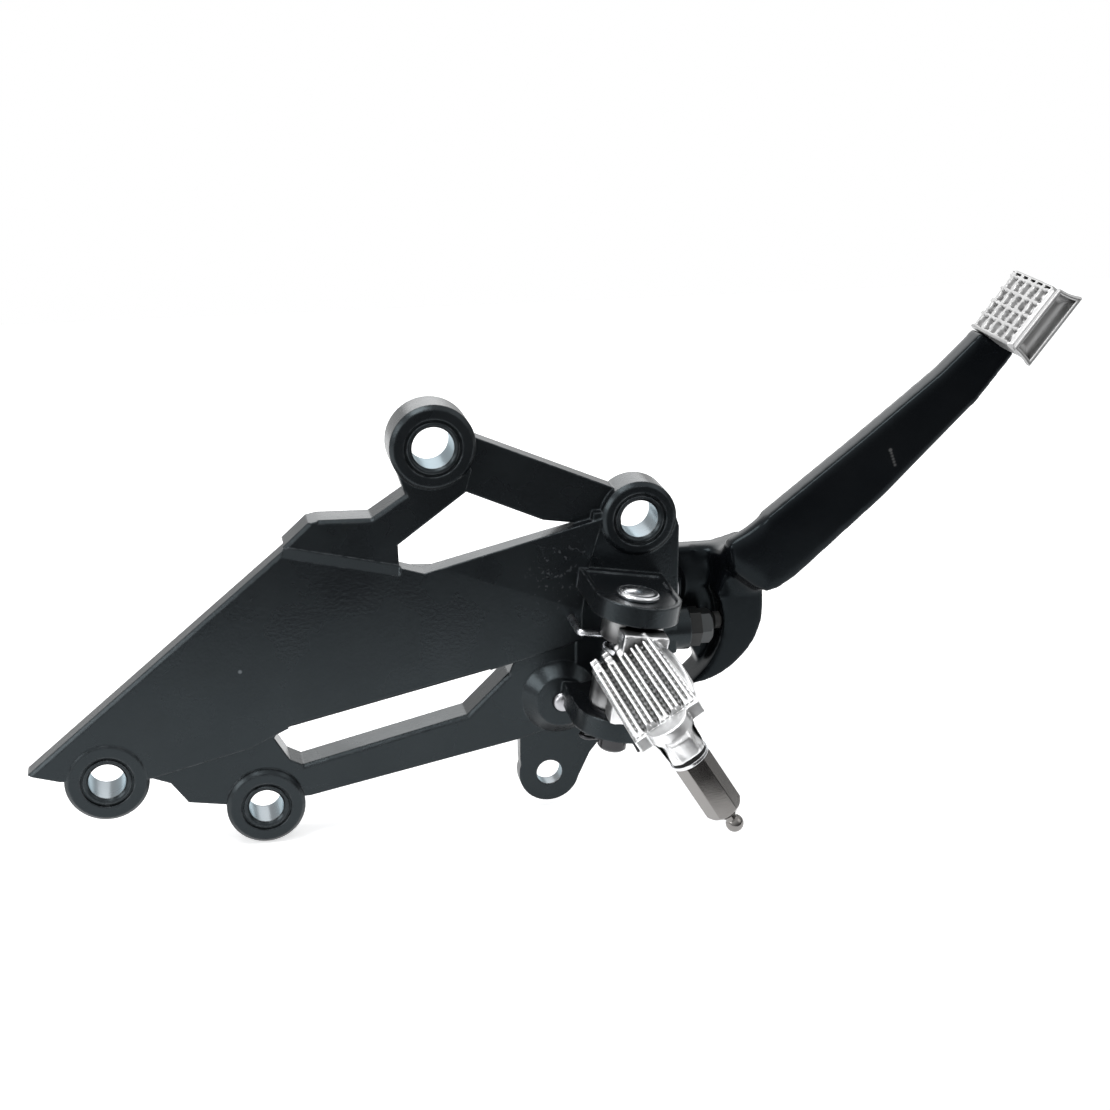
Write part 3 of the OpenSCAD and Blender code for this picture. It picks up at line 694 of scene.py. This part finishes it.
# Painted shade: the pad's colour goes dark in its pits and pocket.
paint(grey_cast, blend_colour(grey_cast, crevice(grey_cast, 0.002, 0.3, 0.8),
                              (0.42, 0.42, 0.42), (0.09, 0.09, 0.09)))
pad_skin = leaned(pad_rows(), (pad_at[0], 0.0, pad_at[1]), 90.0 - pad_tilt)
pedal_pad = skin("pedal_pad_cast", pad_skin, "pedal", grey_cast, crease=60.0)
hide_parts("pedal_pad")
zinc = finish("zinc_plated_steel", (0.42, 0.42, 0.44), 0.32, 1.0)
worked(zinc, 0.0003, 0.0008, 0.00002, 0.26, 0.4, 0.008)
coat(zinc, "pad_screw")

# ---- Stop bolt and lock nut -------------------------------------------------------------
# The pedal's rubber button rests on a blacked hexagon bolt, set by a lock nut against the
# casting's boss.
blacked = finish("blacked_steel", (0.06, 0.064, 0.066), 0.34, 0.85)
worked(blacked, 0.0005, 0.0008, 0.00002, 0.28, 0.42, 0.006)
coat(blacked, "stop_bolt")
blacked_nut = finish("blacked_nut", (0.012, 0.013, 0.013), 0.4, 0.5)
worked(blacked_nut, 0.0005, 0.0008, 0.00002, 0.34, 0.48, 0.006)
coat(blacked_nut, "stop_nut")

# ---- Pedal pivot ------------------------------------------------------------------------
# A shoulder bolt from behind carries the hub on two sintered bronze bushes, between thrust
# washers.
coat(zinc, "pivot_bolt", "pivot_washer_front", "pivot_washer_rear")
sintered = finish("sintered_bronze", (0.5, 0.34, 0.16), 0.4, 1.0)
worked(sintered, 0.0002, 0.0003, 0.00002, 0.34, 0.5, 0.004)
coat(sintered, "hub_bush_front", "hub_bush_rear")

# ---- Pedal return spring ----------------------------------------------------------------
# Wound from the same wire round the pedal's hub. Its upper leg bears on the anchor pin and
# its lower leg is hooked into the pedal's root.
blued = finish("oil_blackened_wire", (0.09, 0.092, 0.1), 0.34, 1.0)
worked(blued, 0.0001, 0.0006, 0.00001, 0.28, 0.42, 0.004)
pivot = (70.0, 0.0, -55.5)
wrap_r, wrap_back, wrap_front, hook_x = 11, 18.8, 13.4, 18
wrap = np.linspace(pi, pi + 2 * pi * 2.25, 220)
pedal_coil = np.stack([wrap_r * np.cos(wrap), np.linspace(wrap_back, wrap_front, 220),
                       wrap_r * np.sin(wrap)], -1)
pedal_path = np.vstack([straight((-wrap_r, wrap_back, 19.3), (-wrap_r, wrap_back, 0.2)),
                        pedal_coil,
                        straight((0.3, wrap_front, -wrap_r), (hook_x, wrap_front, -wrap_r)),
                        straight((hook_x, wrap_front, -wrap_r), (hook_x, 8.1, -wrap_r)),
                        [(hook_x, 8.05, -wrap_r)]])
pedal_wire = leaned(drawn_wire(eased(pedal_path), 1.12), pivot, 0.0)
pedal_spring = skin("pedal_spring_wound", pedal_wire, "hanger", blued)
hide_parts("pedal_spring")
coat(zinc, "spring_anchor")

# ---- Stud in the cone boss --------------------------------------------------------------
# A cut-off M6 stud stands in the cone boss, held by a nut behind it. Its end catches light.


def thread_profile(low, high, radius, depth, pitch):
    """Ridges along a bar: the radius falls and rises by the thread's depth each pitch."""
    height = np.arange(low, high, pitch / 6)
    phase = (height / pitch) % 1.0
    return np.stack([radius - depth * np.abs(2 * phase - 1), height], -1)


stud_thread = np.vstack([thread_profile(-8.0, 15.9, 3.0, 0.32, 1.0), [(2.9, 16.3), (2.6, 16.7),
                         (2.1, 16.95), (1.2, 17.08)]])
# Swept round Z, then laid along -Y.
stud_rows = turned(stud_thread, 40)[..., [0, 2, 1]] * np.array([1.0, -1.0, 1.0])
cone_stud = skin("cone_stud_threaded", leaned(stud_rows, (39.3, 0.0, -84.6), 0.0), "hanger",
                 zinc)
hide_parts("cone_stud")
coat(zinc, "cone_nut")
